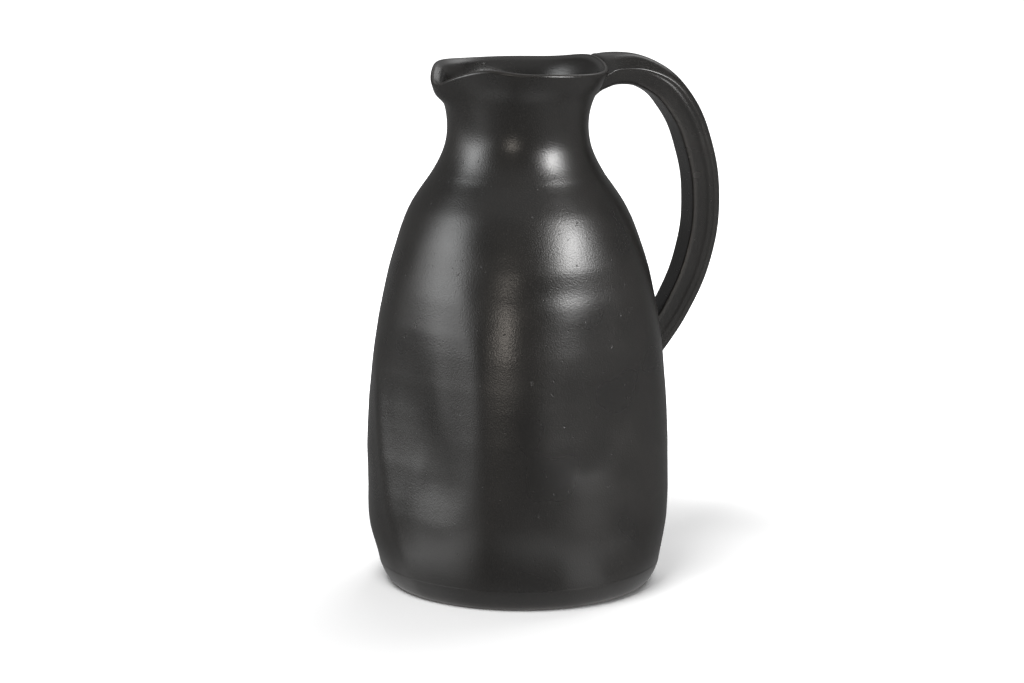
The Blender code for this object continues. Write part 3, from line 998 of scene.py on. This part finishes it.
def make_world():
    """White behind for the camera, a dim even light, and soft studio tones for the glaze to mirror."""
    world = bpy.data.worlds.new("studio")
    world.use_nodes = True
    node, link = new_nodes(world.node_tree)
    place = node("ShaderNodeTexCoord").outputs["Generated"]
    mirrored = patches(node, link, place, STUDIO_PATCHES, STUDIO_TONE)
    path = node("ShaderNodeLightPath")
    glossy = path.outputs["Is Glossy Ray"]
    seen = path.outputs["Is Camera Ray"]
    reflected = computed(node, link, "MULTIPLY", glossy, mirrored)
    plain = computed(node, link, "SUBTRACT", 1.0, glossy)
    dim = computed(node, link, "MULTIPLY", plain, AMBIENT)
    unseen = computed(node, link, "ADD", reflected, dim)
    away = computed(node, link, "SUBTRACT", 1.0, seen)
    hidden = computed(node, link, "MULTIPLY", unseen, away)
    strength = computed(node, link, "ADD", hidden, seen)
    background = node("ShaderNodeBackground")
    background.inputs["Color"].default_value = BACKDROP_WHITE
    link(strength, background.inputs["Strength"])
    output = node("ShaderNodeOutputWorld")
    link(background.outputs["Background"], output.inputs["Surface"])
    bpy.context.scene.world = world


def make_floor():
    turn = np.linspace(0.0, 2 * pi, FLOOR_SIDES, endpoint=False)
    points = [(FLOOR_RADIUS * cos(t), FLOOR_RADIUS * sin(t), 0.0) for t in turn]
    mesh = bpy.data.meshes.new("floor")
    mesh.from_pydata(points, [], [tuple(range(FLOOR_SIDES))])
    floor = bpy.data.objects.new("floor", mesh)
    bpy.context.scene.collection.objects.link(floor)
    mesh.materials.append(floor_material())
    return floor


def make_camera():
    data = bpy.data.cameras.new("camera")
    data.sensor_width = SENSOR_MM
    data.lens = LENS_MM
    camera = bpy.data.objects.new("camera", data)
    camera.location = CAMERA_PLACE
    camera.rotation_euler = (pi / 2 - CAMERA_PITCH, 0.0, -CAMERA_AZIMUTH)
    bpy.context.scene.collection.objects.link(camera)
    bpy.context.scene.camera = camera


def dress(piece, node_name, material):
    piece.data.materials.append(material)
    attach(piece, "root")
    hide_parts(node_name)
    return piece


def make_carafe():
    black = glaze_material("satin_black_glaze", BODY_EDGE, even=0.35, roughness=0.30, grain=0.36)
    handle = glaze_material("handle_black_glaze", HANDLE_EDGE_HIGHLIGHT, even=0.85, roughness=0.25, grain=0.14)
    base = glaze_material(
        "foot_glaze_and_clay", FOOT_EDGE, even=0.35, roughness=0.32, grain=0.36, bare=True
    )
    strap = Strap()
    foot = turned_piece("foot_and_floor", floor_rings(), False)
    belly = turned_piece("pinched_belly", belly_rings(), True)
    shoulder = turned_piece("shoulder", shoulder_rings(), True)
    neck = turned_piece("neck_and_pouring_lip", neck_rings(), True)
    pulled = strap_piece("pulled_strap", strap)
    upper = upper_lute_piece("upper_root_clay", strap)
    lower = lower_lute_piece("lower_root_clay", strap)
    return [
        dress(foot, "floor_slab", base),
        dress(belly, "belly_wall", black),
        dress(shoulder, "shoulder_wall", black),
        dress(neck, "neck_and_lip", black),
        dress(pulled, "handle_strap", handle),
        dress(upper, "upper_handle_lute", handle),
        dress(lower, "lower_handle_lute", handle),
    ]


make_camera()
make_world()
lit = {"carafe": bpy.data.collections.new("carafe"), "floor": bpy.data.collections.new("floor")}
lit["floor"].objects.link(make_floor())
for piece in make_carafe():
    lit["carafe"].objects.link(piece)
for *lamp, lights in LAMPS:
    add_lamp(*lamp, lit[lights])
bpy.context.scene.view_settings.view_transform = "Standard"
